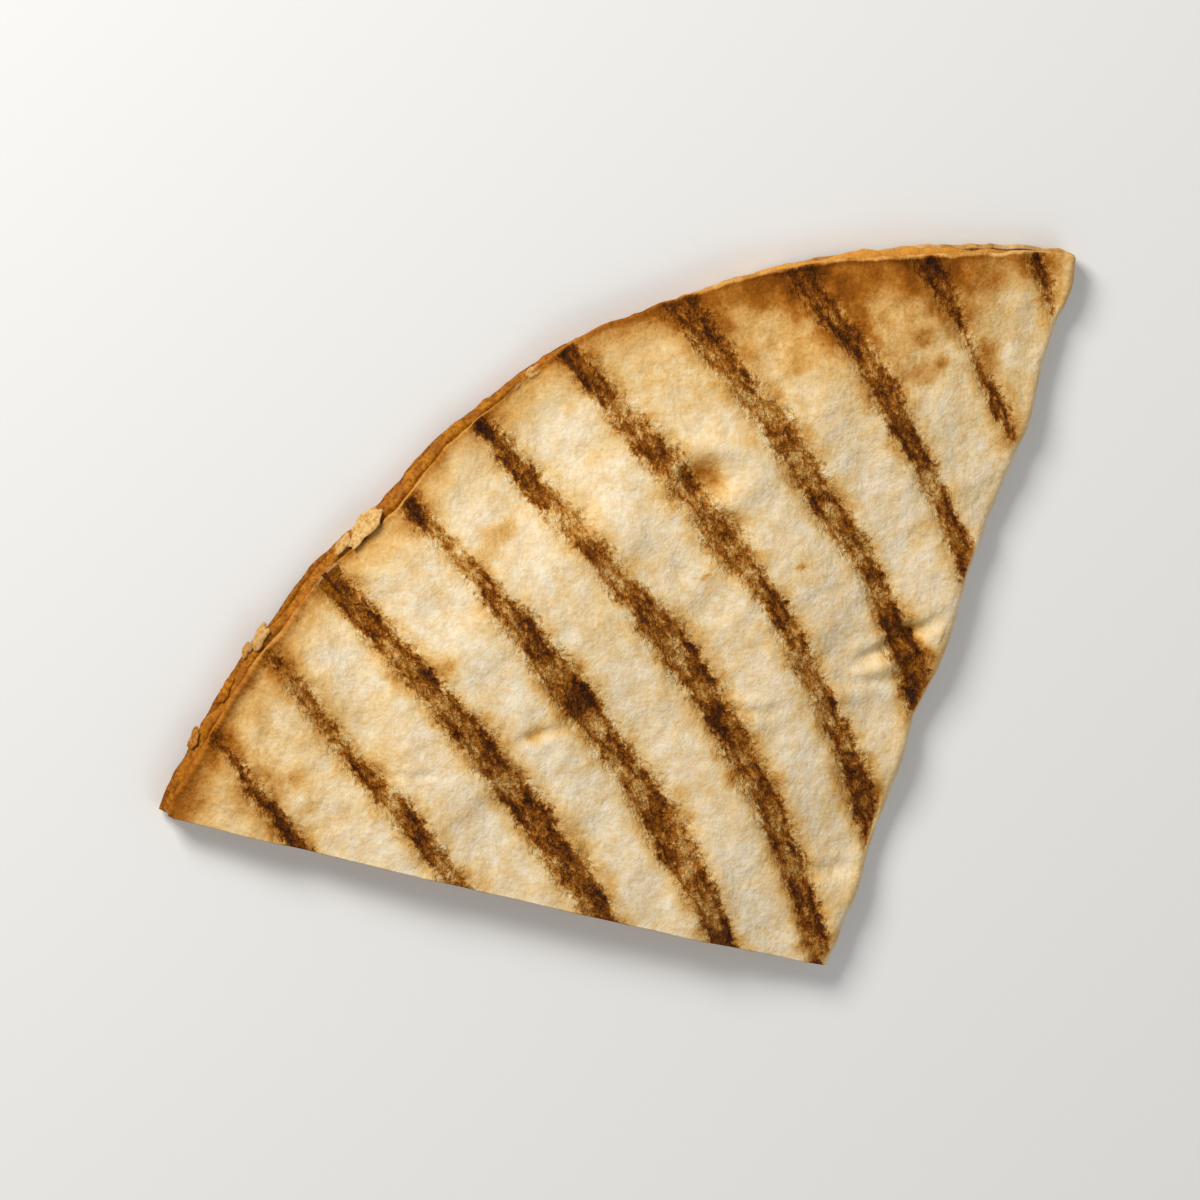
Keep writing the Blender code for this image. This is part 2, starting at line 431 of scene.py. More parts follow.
def waves(x, y):
    """The grilled face's broad swells, drawn out along the marks, and its fine unevenness."""
    a, b = along_mark(x, y), across_mark(x, y)
    broad = 0.5 * noise(x, y, 21.0, seed=20) + 0.7 * noise(a / 1.4, b, 11.0, seed=21)
    broad = broad + 0.3 * noise(a / 1.3, b, 5.5, seed=22)
    return broad + 0.08 * noise(x, y, 3.2, seed=23) + 0.03 * noise(x, y, 1.6, seed=24)


def upper_relief(x, y, phase, width, strength):
    """How far the grilled face stands out from the plain body."""
    height = waves(x, y)
    share = from_mark(phase) / (width * 0.5)
    pressed = np.minimum(strength, 1)
    height = height - MARK_DEPTH * pressed * bell(share, 1.05, 4)
    height = height + MARK_RIDGE * pressed * bell(share - 1.6, 0.45)
    for hx, hy, depth, long_half, short_half, turn in HOLLOWS:
        c, s = math.cos(math.radians(turn)), math.sin(math.radians(turn))
        p, q = (x - hx) * c + (y - hy) * s, (y - hy) * c - (x - hx) * s
        reach = (p / long_half) ** 2 + (q / short_half) ** 2
        ridge = np.exp(-((np.sqrt(reach) - 1.9) ** 2) * 2.5)
        height = height - depth * np.exp(-reach) + HOLLOW_RIDGE * depth * ridge
    for x0, y0, x1, y1, depth, half in CREASES:
        away, fade = crease_distance(x, y, x0, y0, x1, y1)
        height = height - depth * fade * bell(away, half)
        height = height + CREASE_RIDGE * depth * fade * bell(away - 2.2 * half, 1.1 * half)
    near_fold = (1 - ease(-x, PUCKER_REACH)) * ease(80 - y, 30.0)
    puckers = np.sin(y / PUCKER_LENGTH + 2.0 * noise(x, y, 8.0, seed=25))
    return height + near_fold * PUCKER_HEIGHT * puckers - UPPER_DROP


def under_relief(x, y, phase):
    """The same for the underside, which only goes inwards so that it stays on its flat rest."""
    height = -UNDER_MARK_DEPTH * bell(from_mark(phase), 3.0, 4)
    height = height + 0.10 * noise(x, y, 9.0, seed=31) + 0.05 * noise(x, y, 4.0, seed=32)
    return np.minimum(height - UNDER_DROP, 0.0)


def browning_and_shade(x, y, from_rim, angle, under_share):
    """Broad toasted colour: towards the pointed tip, along the fold and round the rim, and the spots. Towards
    the corner where the cut meets the round edge it is partly real toasted colour and partly painted shade.
    """
    tip_rim = ease(angle - 52, 14.0) * (1 - 0.65 * ease(angle - 78, 10.0)) * 0.5
    tip_rim = tip_rim * ease(from_rim + 4, 10.0) * (1 - ease(from_rim - 2.5, 16.0))
    tip_face = ease(y - 72, 34.0) * (1 - ease(from_rim - 8, 34.0)) * (0.42 + 0.14 * noise(x, y, 13.0, seed=61))
    tip = (tip_rim + tip_face) * (1 - 0.45 * ease(x + 16, 12.0))
    # Darker towards the corner where the cut meets the round edge: partly real toasted colour, partly painted
    # shade.
    corner = ease(-x - 84, 40.0) * ease(40 - y, 36.0) * 0.45
    fold = (1 - ease(-x, 10.0)) * (0.22 + 0.18 * noise(x, y, 7.0, seed=62)) * (1 - ease(y - 96, 16.0))
    spots = sum(power * np.exp(-(((x - sx) ** 2 + (y - sy) ** 2) / (size * size)) ** 1.5)
                for sx, sy, size, power in SPOTS)
    upper = tip + corner + fold + spots
    under = 0.25 + 0.25 * noise(x, y, 14.0, seed=63) + fold
    return np.clip(upper + (under - upper) * under_share, 0, 1.2)


# Grids, and shells made of two grids.


def closer_near(steps, last_step, gain=0.0, width=1.0):
    """Places from 0 to 1, closer together near 0, with one short last step to hold an edge."""
    fine = np.linspace(0, 1, 4001)
    density = 1 + gain * bell(fine, width)
    total = np.cumsum(density) - density[0]
    places = np.interp(np.linspace(0, 1, steps), total / total[-1], fine)
    return np.append(places[:-1], [1 - last_step, 1.0])


def quarter_disc(u, v):
    """A square's points on a quarter of a round disc, both of size 1."""
    return u * np.sqrt(1 - v * v / 2), v * np.sqrt(1 - u * u / 2)


def border_of(rows, columns):
    """The border of a grid in order, as row and column indices."""
    bottom = [(i, 0) for i in range(rows)]
    far = [(rows - 1, j) for j in range(1, columns)]
    top = [(i, columns - 1) for i in range(rows - 2, -1, -1)]
    near = [(0, j) for j in range(columns - 2, 0, -1)]
    return tuple(np.array(bottom + far + top + near).T)


def grid_faces(rows, columns, start, flipped):
    """Quads over a grid of points that are numbered row by row."""
    ids = start + np.arange(rows * columns).reshape(rows, columns)
    quads = np.stack([ids[:-1, :-1], ids[1:, :-1], ids[1:, 1:], ids[:-1, 1:]], axis=-1).reshape(-1, 4)
    return quads[:, ::-1] if flipped else quads


def band_faces(rings, flipped):
    """Quads between neighbouring closed rings of points."""
    quads = []
    for first, second in zip(rings, rings[1:]):
        quads.append(np.stack([first, second, np.roll(second, -1), np.roll(first, -1)], axis=-1))
    quads = np.concatenate(quads)
    return quads[:, ::-1] if flipped else quads


def shell(one_side, other_side, rings, flipped):
    """Points and faces of two grids, joined round their border by rings of points."""
    rows, columns = one_side.shape[:2]
    count = rows * columns
    first_ring = np.arange(count).reshape(rows, columns)[border_of(rows, columns)]
    ring_ids = [2 * count + k * len(first_ring) + np.arange(len(first_ring)) for k in range(len(rings))]
    points = np.concatenate([one_side.reshape(-1, 3), other_side.reshape(-1, 3)] + rings)
    faces = np.concatenate([
        grid_faces(rows, columns, 0, flipped),
        grid_faces(rows, columns, count, not flipped),
        band_faces([first_ring] + ring_ids + [count + first_ring], flipped),
    ])
    return points, faces


def over_shell(on_one_side, on_other_side, on_rings, ring_count):
    """One value for each point of a shell, from grids for its sides and a row, or one each, for its rings."""
    on_rings = np.broadcast_to(on_rings, (ring_count, np.shape(on_rings)[-1]))
    return np.concatenate([np.ravel(on_one_side), np.ravel(on_other_side), np.ravel(on_rings)])


def make_mesh(name, points, faces, fields):
    """A smooth mesh in metres, in the row's frame, with a value for each point in each named field."""
    mesh = bpy.data.meshes.new(name)
    low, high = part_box("tortilla")
    corner = np.array([high.x - FOLD_REACH * MM, low.y, 0.0])
    mesh.from_pydata((points * MM + corner).tolist(), [], [[int(i) for i in face] for face in faces])
    mesh.shade_smooth()
    for field, values in fields.items():
        values = np.asarray(values, np.float32)
        kind, slot = ("FLOAT_VECTOR", "vector") if values.ndim == 2 else ("FLOAT", "value")
        mesh.attributes.new(field, kind, "POINT").data.foreach_set(slot, values.ravel())
    obj = bpy.data.objects.new(name, mesh)
    bpy.context.scene.collection.objects.link(obj)
    return obj


# The pieces.


def sheet_places():
    """Where the grid of the unfolded sheet lies, over both layers.

    Gives distance from the fold, below 0 above, length along the fold, the ragged rim's radius there, and
    the grid's share of the way from the cut.
    """
    one_side = closer_near(ACROSS, RIM_STRIP, FOLD_CROWDING, CROWDED_SHARE)
    u = np.concatenate([-one_side[::-1], one_side[1:]])
    v = 1 - closer_near(ALONG, ALONG_STRIP)[::-1]
    v = np.sort(np.append(v, 1 - RIM_STRIP))
    u, v = np.meshgrid(u, v, indexing="ij")
    x, y = quarter_disc(np.abs(u), v)
    angle = np.degrees(np.arctan2(y, x + 1e-9))
    radius = np.where(u < 0, upper_radius(angle), lower_radius(angle))
    layer = np.where(u < 0, 0.0, 40.0)
    ragged = 0.22 * (1 + noise(angle * DEGREE, layer, 3.2, seed=41))
    ragged = ragged + 0.14 * (1 + noise(angle * DEGREE, layer, 1.3, seed=42))
    off_centre = ease(np.hypot(x, y), 0.3)
    rim = (radius - ragged - 0.5 * RIM_THICKNESS) * off_centre + radius * (1 - off_centre)
    return np.sign(u) * x * rim, y * rim, rim, v


def lip_rings(outer_edge, inner_edge, edge_s, edge_y, on_cut):
    """Rings of points round the sheet's edge, rounded at the rim and rough at the cut, and their depths."""
    centre, thick = (outer_edge + inner_edge) / 2, (outer_edge - inner_edge) / 2
    radial = np.stack([-np.abs(edge_s), edge_y, np.zeros_like(edge_s)], axis=-1)
    radial = radial / (np.linalg.norm(radial, axis=-1, keepdims=True) + 1e-9)
    reach = (LIP_REACH * RIM_THICKNESS * (1 - on_cut))[:, None]
    rings, depths = [], []
    for step in range(1, RIM_STEPS + 1):
        turn = math.pi * step / (RIM_STEPS + 1)
        ring = centre + thick * math.cos(turn) + radial * reach * math.sin(turn)
        rough = 1 + noise(edge_s, edge_s * 0 + step, 1.7, seed=43)
        ring[:, 1] += on_cut * 0.1 * math.sin(turn) * rough
        rings.append(ring)
        depths.append(math.cos(turn))
    return rings, np.array(depths)[:, None]


def make_tortilla():
    """Both layers and the fold between them, one sheet with its relief on the outer side."""
    s, y, rim_radius, v = sheet_places()
    middle, normal = folded(s, y), sheet_normal(s, y)
    x = middle[..., 0]
    angle = np.degrees(np.arctan2(y, np.abs(s) + 1e-9))
    from_rim = rim_radius - np.hypot(s, y)
    half = half_thickness(from_rim)
    # The fold's own stretch of the sheet, how far round it a point is, and x carried on round it.
    bend = math.pi / 2 * bend_radius(y)
    under_share = ease(s + bend, 2 * bend)
    unfolded = bend_start(y) + bend + s

    phase_up, phase_under = phase_at(x, y), under_phase_at(unfolded, y)
    width, strength = mark_knots(phase_up, x, y)
    lift = upper_relief(x, y, phase_up, width, strength) * (1 - under_share)
    lift = lift + under_relief(x, y, phase_under) * under_share
    lift = np.where(np.abs(s) < bend, np.minimum(lift, -0.02), lift)
    outer = middle + normal * (half + lift)[..., None]
    above = np.maximum(outer[..., 2] - TOP + TOP_EASE, 0)
    outer[..., 2] += TOP_EASE * np.tanh(above / TOP_EASE) - above
    inner = middle - normal * half[..., None]

    border = border_of(*s.shape)
    edge_s, edge_angle = s[border], angle[border]
    on_cut = (v[border] == 0).astype(float)
    rings, depths = lip_rings(outer[border], inner[border], edge_s, y[border], on_cut)
    points, faces = shell(outer, inner, rings, flipped=False)
    points[:, 1] = np.maximum(points[:, 1], 0.0)

    def spread(on_outer, on_inner, on_rings):
        return over_shell(on_outer, on_inner, on_rings, RIM_STEPS)

    plain = np.zeros_like(s)
    ring = np.arange(RIM_STEPS)[:, None]
    # Stained with cheese: the upper layer's rim near the cut, and the lip except where it turns paler and
    # golden towards the tip, which is partly its own colour and partly painted highlight.
    crusted = (1 - ease(from_rim - 0.5, 1.6)) * ease(24 - angle, 10.0) * ease(angle - 0.5, 2.0)
    uneven = 0.8 + 0.4 * noise(angle * DEGREE, s, 1.5, seed=52)
    crusted = np.where(s < 0, 0.75 * crusted * uneven, 0.4 * crusted)
    # Painted highlight: the lip turns paler and golden towards the pointed tip, partly its own colour.
    golden_lip_and_highlight = ease(edge_angle - 52, 10.0) * (0.85 + 0.3 * noise(edge_angle * DEGREE, edge_s, 2.0, seed=53))
    stained_lip = (0.35 + 0.65 * ease(edge_s + 3, 6.0)) * (1 - 0.8 * golden_lip_and_highlight)

    phase = np.where(s < 0, phase_up, phase_under)
    under_strength = 0.75 + 0.25 * noise(x, y, 12.0, seed=51)
    contact = ease(np.abs(s) - 1.3, 2.2) * ease(from_rim + 1.6, 2.4)
    power = np.where(s < 0, strength, under_strength) * contact
    size = np.where(s < 0, width, UNDER_MARK_WIDTH)
    # Toasted colour, with painted shade towards the corner by the cut and in the hollow's spots.
    toast_and_shade = browning_and_shade(x, y, from_rim, angle, under_share)
    first_ring_only = np.where(ring < 1, 0.6, 0.0)
    # The paler lip towards the tip, partly painted highlight, also holds back the lip's rim browning, its stain
    # and its toasted colour.
    lip_from_rim = np.where(on_cut > 0, FAR_FROM_RIM, -0.4 * (ring + 1) + 4.0 * golden_lip_and_highlight)

    obj = make_mesh("tortilla_grilled", points, faces, {
        "flat": np.stack([
            spread(unfolded, unfolded, unfolded[border]),
            spread(y, y, y[border]),
            spread(half, -half, depths * half[border]),
        ], axis=-1),
        "phase": spread(phase, phase, phase[border]),
        "mark_width": spread(size, size, size[border]),
        "mark_strength": spread(power, plain, power[border] * first_ring_only * (1 - on_cut)),
        "toast_and_shade": spread(toast_and_shade, plain, toast_and_shade[border] * (1 - on_cut) * (1 - 0.6 * golden_lip_and_highlight)),
        "rim": spread(from_rim + 5 * ease(angle - 80, 8.0), plain + FAR_FROM_RIM, lip_from_rim),
        "crumb": spread(plain, plain, on_cut),
        "stain": spread(crusted, plain + 1, (1 - on_cut) * stained_lip),
    })
    obj.data.materials.append(tortilla_material())
    return obj


def cheese_rings(high, low, angle, on_arc, on_cut):
    """Rings of points down the cheese's edge, swollen and ragged at the rim and rough at the cut."""
    radial = np.stack([-np.cos(np.radians(angle)), np.sin(np.radians(angle)), 0 * angle], axis=-1)
    slant = np.maximum(lower_radius(angle) - filling_radius(angle) - 0.4, 0)
    rings = []
    for step in range(1, FILLING_EDGE_STEPS + 1):
        share = step / (FILLING_EDGE_STEPS + 1)
        ragged = 0.22 * noise(angle * DEGREE, 0 * angle + step * 0.45, 1.3, seed=73)
        out = on_arc * (CHEESE_SWELL * math.sin(math.pi * share) + ragged + share * slant)
        ring = high + (low - high) * share + radial * out[:, None]
        rough = noise(high[:, 0], 0 * high[:, 0] + share * 4.0, 1.4, seed=74) + 1
        ring[:, 1] += on_cut * 0.14 * rough * math.sin(math.pi * share) ** 0.5
        rings.append(ring)
    return rings


def make_filling():
    """Melted cheese that fills the space between the layers, with an uneven, browned face at the rim."""
    one_side = closer_near(FILLING_STEPS, FILLING_STRIP)
    u, v = np.meshgrid(one_side, one_side, indexing="ij")
    gx, gy = quarter_disc(u, v)
    angle = np.degrees(np.arctan2(gy, gx + 1e-9))
    ragged = 0.35 * noise(angle * DEGREE, 0 * angle, 4.0, seed=71)
    ragged = ragged + 0.25 * noise(angle * DEGREE, 0 * angle, 1.6, seed=72)
    radius = filling_radius(angle) - CHEESE_INSET + ragged
    y = gy * radius
    x = bend_start(y) - gx * (radius + bend_start(0.0))
    apart = np.hypot(x, y)
    upper_half = half_thickness(upper_radius(angle) - apart)
    lower_half = half_thickness(lower_radius(angle) - apart)
    floor = THICKNESS / 2 + lower_half + curl(x, y) + CHEESE_GAP
    roof = THICKNESS * 1.5 - upper_half + gap_between_layers(x, y) + curl(x, y) - CHEESE_GAP
    top, bottom = np.stack([x, y, roof], axis=-1), np.stack([x, y, floor], axis=-1)

    border = border_of(*x.shape)
    on_cut = (v[border] == 0).astype(float)
    on_arc = ((u[border] == 1) | (v[border] == 1)).astype(float) * (1 - on_cut)
    rings = cheese_rings(top[border], bottom[border], angle[border], on_arc, on_cut)
    points, faces = shell(top, bottom, rings, flipped=True)

    rim = np.minimum(filling_radius(angle) - apart, 40)
    # Painted highlight: the cheese grows brighter towards the pointed tip, partly its own colour; the cut face
    # is made brighter as well.
    bright = ease(angle - 50, 10.0) * 0.7
    edge_bright = np.maximum(bright[border], 0.8 * on_cut)
    obj = make_mesh("cheese_melted", points, faces, {
        "flat": points,
        "rim": over_shell(rim, rim, rim[border], FILLING_EDGE_STEPS),
        "pale": np.zeros(len(points)),
        "bright": over_shell(bright, bright, edge_bright, FILLING_EDGE_STEPS),
    })
    obj.data.materials.append(cheese_material())
    return obj


def lumpy_shape(index, half_sizes):
    """Points of one flattened lumpy bit, level by level, then its two poles."""
    turns = np.arange(BIT_TURNS) * 2 * math.pi / BIT_TURNS
    levels = np.arange(1, BIT_LEVELS) * math.pi / BIT_LEVELS
    a, b = np.meshgrid(turns, levels)
    unit = np.stack([np.cos(a) * np.sin(b), np.sin(a) * np.sin(b), np.cos(b)], axis=-1).reshape(-1, 3)
    unit = np.concatenate([unit, [[0, 0, 1.0], [0, 0, -1.0]]])
    unit = unit / (np.abs(unit) ** 3).sum(axis=1, keepdims=True) ** (1 / 3)
    swell = 1 + 0.25 * noise(unit[:, 0] * 2 + 9 * index, unit[:, 1] * 2, 1.0, seed=81)
    swell = swell + 0.10 * noise(unit[:, 0] * 3, unit[:, 1] * 3 + 7 * index, 0.6, seed=82)
    local = unit * swell[:, None] * np.array(half_sizes)
    local[:, 0] += 0.45 * local[:, 1]
    local[:, 2] += 0.12 * noise(local[:, 0], local[:, 1] + 5 * index, 0.9, seed=83)
    return local


def ball_faces(start):
    """Faces of one bit whose points are numbered from the start."""
    rows = BIT_LEVELS - 1
    grid = start + np.arange(BIT_TURNS * rows).reshape(rows, BIT_TURNS)
    north, south = start + BIT_TURNS * rows, start + BIT_TURNS * rows + 1
    neighbours = [(k, (k + 1) % BIT_TURNS) for k in range(BIT_TURNS)]
    faces = [(grid[i, k], grid[i + 1, k], grid[i + 1, n], grid[i, n])
             for i in range(rows - 1) for k, n in neighbours]
    for k, n in neighbours:
        faces += [(north, grid[0, k], grid[0, n]), (south, grid[-1, n], grid[-1, k])]
    return faces


def make_bits():
    """The bits that are stuck to the open edge, as one mesh of small lumpy shapes."""
    points, faces, pale = [], [], []
    above = np.array([0, 0, 1.0])
    for index, (angle, past, height, along, outward, up, tone, lean) in enumerate(BITS):
        local = lumpy_shape(index, (along, outward, up))
        turn, tip_down = math.radians(angle), math.radians(lean)
        radius = float(filling_radius(np.array(angle))) + past
        out = np.array([-math.cos(turn), math.sin(turn), 0])
        side = np.array([math.sin(turn), math.cos(turn), 0])
        across = out * math.cos(tip_down) - above * math.sin(tip_down)
        outside = out * math.sin(tip_down) + above * math.cos(tip_down)
        centre = out * radius + above * (height + float(curl(out[0] * radius, out[1] * radius)))
        faces += ball_faces(len(points) * len(local))
        points.append(centre + local[:, :1] * side + local[:, 1:2] * across + local[:, 2:] * outside)
        pale.append(np.full(len(local), tone))
    points = np.concatenate(points)
    fields = {"flat": points, "rim": np.zeros(len(points)), "pale": np.concatenate(pale)}
    obj = make_mesh("cheese_bits", points, faces, fields)
    obj.data.materials.append(cheese_material())
    return obj


# Materials.


class Net:
    """Short calls for building one material's nodes."""

    def __init__(self, name):
        self.material = bpy.data.materials.new(name)
        self.material.use_nodes = True
        self.nodes = self.material.node_tree.nodes
        self.links = self.material.node_tree.links
        self.shader = self.nodes["Principled BSDF"]

    def put(self, socket, value):
        if isinstance(value, bpy.types.NodeSocket):
            self.links.new(value, socket)
        else:
            socket.default_value = value

    def complete(self, colour, roughness, normal, specular, scatter, scatter_colour, scatter_depth):
        """Joins what was built to the shader, and sets its plain values."""
        inputs = self.shader.inputs
        self.put(inputs["Base Color"], colour)
        self.put(inputs["Roughness"], roughness)
        self.put(inputs["Normal"], normal)
        inputs["Specular IOR Level"].default_value = specular
        inputs["Subsurface Weight"].default_value = scatter
        inputs["Subsurface Radius"].default_value = scatter_colour
        inputs["Subsurface Scale"].default_value = scatter_depth * MM
        return self.material

    def field(self, name, output="Fac"):
        node = self.nodes.new("ShaderNodeAttribute")
        node.attribute_name = name
        return node.outputs[output]

    def math(self, operation, first, second=0.0, third=0.0):
        node = self.nodes.new("ShaderNodeMath")
        node.operation = operation
        for socket, value in zip(node.inputs, (first, second, third)):
            self.put(socket, value)
        return node.outputs[0]

    def times(self, first, second):
        return self.math("MULTIPLY", first, second)

    def plus(self, total, value, factor):
        """The total and a value times a factor."""
        return self.math("MULTIPLY_ADD", value, factor, total)

    def distance(self, first, second):
        return self.math("ABSOLUTE", self.math("SUBTRACT", first, second))

    def between(self, value, start, end, low=0.0, high=1.0):
        """From low at the start to high at the end, smoothly."""
        node = self.nodes.new("ShaderNodeMapRange")
        node.interpolation_type = "SMOOTHSTEP"
        for socket, given in zip(node.inputs, (value, start, end, low, high)):
            self.put(socket, given)
        return node.outputs[0]

    def stretched(self, vector, turn, stretch):
        """Places turned and then drawn out, so that a texture is longer in the direction of the turn."""
        node = self.nodes.new("ShaderNodeMapping")
        node.vector_type = "TEXTURE"
        self.put(node.inputs["Vector"], vector)
        node.inputs["Rotation"].default_value = (0, 0, turn)
        node.inputs["Scale"].default_value = (stretch, 1.0, 1.0)
        return node.outputs[0]

    def noise(self, vector, scale, detail=2.0, roughness=0.5, distortion=0.0):
        node = self.nodes.new("ShaderNodeTexNoise")
        self.put(node.inputs["Vector"], vector)
        values = {"Scale": scale, "Detail": detail, "Roughness": roughness, "Distortion": distortion}
        for name, value in values.items():
            node.inputs[name].default_value = value
        return node.outputs["Fac"]

    def mix(self, share, first, second, blend="MIX"):
        node = self.nodes.new("ShaderNodeMix")
        node.data_type = "RGBA"
        node.blend_type = blend
        factor, colour_a, colour_b, result = node.inputs[0], node.inputs[6], node.inputs[7], node.outputs[2]
        for socket, value in ((factor, share), (colour_a, first), (colour_b, second)):
            self.put(socket, value)
        return result

    def ramp(self, value, stops):
        node = self.nodes.new("ShaderNodeValToRGB")
        self.put(node.inputs[0], value)
        elements = node.color_ramp.elements
        while len(elements) < len(stops):
            elements.new(0.5)
        for element, (place, colour) in zip(elements, stops):
            element.position = place
            element.color = colour
        return node.outputs[0]

    def bump(self, height, distance, strength, normal=None):
        node = self.nodes.new("ShaderNodeBump")
        node.inputs["Distance"].default_value = distance * MM
        node.inputs["Strength"].default_value = strength
        self.put(node.inputs["Height"], height)
        if normal is not None:
            self.put(node.inputs["Normal"], normal)
        return node.outputs[0]


class Dough:
    """The dough's shared fields and noises, and the layers of its look."""

    def __init__(self, net):
        self.net = net
        self.flat = net.field("flat", "Vector")
        self.drawn = net.stretched(self.flat, MARK_ANGLE, 1.8)
        self.coarse = net.noise(self.flat, 0.13, 3.0, 0.55)
        self.middle = net.noise(self.flat, 0.55, 4.0, 0.62)
        self.fine = net.noise(self.flat, 1.5, 3.0, 0.6)
        self.grain = net.noise(self.flat, 3.4, 2.0, 0.6)
        self.cloud = net.between(net.noise(self.flat, 0.22, 4.0, 0.6), 0.34, 0.66)
        self.threads = net.between(net.noise(self.drawn, 0.8, 3.0, 0.55, 0.7), 0.34, 0.66)
        self.flecks = net.between(net.noise(self.drawn, 1.35, 3.0, 0.58, 0.5), 0.34, 0.66)
        self.patches = net.between(net.noise(self.drawn, 0.24, 2.0, 0.5), 0.38, 0.64)
        self.strength = net.field("mark_strength")
        self.mottle = net.math("ADD", self.threads, self.flecks)
        self.past = self.past_mark()
        self.cover = self.mark_cover()
        self.char = net.times(self.cover, self.mark_depth())
        self.heat = net.times(self.cover, self.strength)

    def past_mark(self):
        """Distance past a grill mark's wandering edge, below 0 inside the mark."""
        net = self.net
        phase = net.field("phase")
        away = net.times(net.distance(phase, net.math("ROUND", phase)), MARK_SPACING)
        wander = net.plus(-1.4, net.noise(self.flat, 0.34, 3.0, 0.6), 2.8)
        edge = net.plus(-0.45, net.field("mark_width"), 0.5)
        return net.math("SUBTRACT", net.math("ADD", away, wander), edge)

    def mark_cover(self):
        """How much of the dough a grill mark covers, frayed at its edges and thinner in patches."""
        net = self.net
        frayed = net.plus(net.math("ADD", self.past, 0.36), self.mottle, -0.36)
        frayed = net.plus(net.math("ADD", frayed, 0.85), self.fine, -1.7)
        cover = net.times(net.between(frayed, 1.5, -1.0), net.between(self.strength, 0.0, 0.4))
        return net.times(cover, net.plus(0.80, self.patches, 0.22))

    def mark_depth(self):
        """How deeply a grill mark is browned: more along its edges, in patches and in fine cracks."""
        net = self.net
        rails = net.between(net.math("ABSOLUTE", net.math("ADD", self.past, 0.9)), 1.0, 0.0)
        cracks = net.distance(net.noise(self.drawn, 0.7, 3.0, 0.55, 1.2), 0.5)
        depth = net.plus(-0.09, self.strength, 0.30)
        depth = net.plus(depth, self.mottle, 0.16)
        depth = net.plus(depth, rails, 0.13)
        depth = net.plus(depth, self.patches, 0.20)
        return net.plus(depth, net.between(cracks, 0.055, 0.0), 0.17)

    def toasting_and_shade(self):
        """Broad toasted colour from the mesh's field, with the painted shade and painted highlight that the
        field carries, held back where a grill mark already browns the dough.
        """
        net = self.net
        patchy = net.plus(net.plus(0.70, self.middle, 0.35), self.cloud, 0.16)
        bare = net.math("SUBTRACT", 1.0, net.times(self.cover, 0.8))
        return net.times(net.times(net.field("toast_and_shade"), patchy), bare)

    def brown(self):
        """How brown the dough is, from 0 for raw to 1 for burnt."""
        net = self.net
        rim = net.field("rim")
        rim_uneven = net.math("ADD", rim, net.plus(-2.5, self.middle, 5.0))
        rim_line = net.between(net.plus(rim, rim_uneven, 0.5), 1.6, -0.5)
        halo = net.times(net.between(self.past, 4.0, -0.4), self.strength)
        freckle = net.between(net.noise(self.flat, 0.9, 4.0, 0.72), 0.55, 0.74)
        total = net.math("MAXIMUM", net.times(halo, net.plus(0.16, self.cloud, 0.14)), self.char)
        total = net.math("SUBTRACT", total, 0.185)
        for layer, amount in (
            (self.toasting_and_shade(), 0.40),
            (net.between(rim_uneven, 8.5, 0.0), 0.25),
            (rim_line, 0.12),
            (net.between(self.coarse, 0.42, 0.66), 0.08),
            (self.cloud, 0.075),
            (freckle, 0.08),
            (self.fine, 0.20),
            (self.grain, 0.12),
        ):
            total = net.plus(total, layer, amount)
        return total

    def colour(self):
        """Cream dough browned by the heat, with charred specks, cheese stains and the cut's pale crumb, and
        with the painted shade and painted highlight that the toasted colour carries.
        """
        net = self.net
        base = net.mix(net.between(self.middle, 0.35, 0.65), CREAM, WARM_CREAM)
        colour = net.mix(1.0, base, net.ramp(self.brown(), BAKED), "MULTIPLY")
        charred = net.between(net.noise(self.drawn, 1.7, 3.0, 0.6, 0.5), 0.56, 0.64)
        speck = net.times(net.times(self.heat, net.plus(0.35, self.patches, 0.65)), charred)
        colour = net.mix(net.times(speck, 0.8), colour, SPECK)
        stained = net.mix(net.between(self.fine, 0.35, 0.6), AMBER, RIM_BROWN)
        colour = net.mix(net.field("stain"), colour, stained)
        return net.mix(net.field("crumb"), colour, net.mix(self.fine, CRUMB, WARM_CREAM))

    def relief(self):
        """Bumps too fine for the mesh: the dough's own, and the crackled grill marks."""
        net = self.net
        swells = net.noise(net.stretched(self.flat, MARK_ANGLE, 1.4), 0.30, 3.0, 0.5)
        dough = net.plus(net.times(swells, 2.2), self.fine, 0.25)
        dough = net.plus(dough, self.middle, 0.55)
        crackle = net.times(net.times(self.flecks, net.math("MINIMUM", self.heat, 1.0)), -2.0)
        return net.bump(crackle, 0.35, 0.8, net.bump(dough, 0.7, 0.48))


def tortilla_material():
    net = Net("grilled_tortilla")
    dough = Dough(net)
    roughness = net.between(dough.char, 0.3, 0.8, 0.64, 0.36)
    return net.complete(dough.colour(), roughness, dough.relief(), specular=0.08,
                      scatter=0.06, scatter_colour=(1.0, 0.55, 0.25), scatter_depth=1.0)


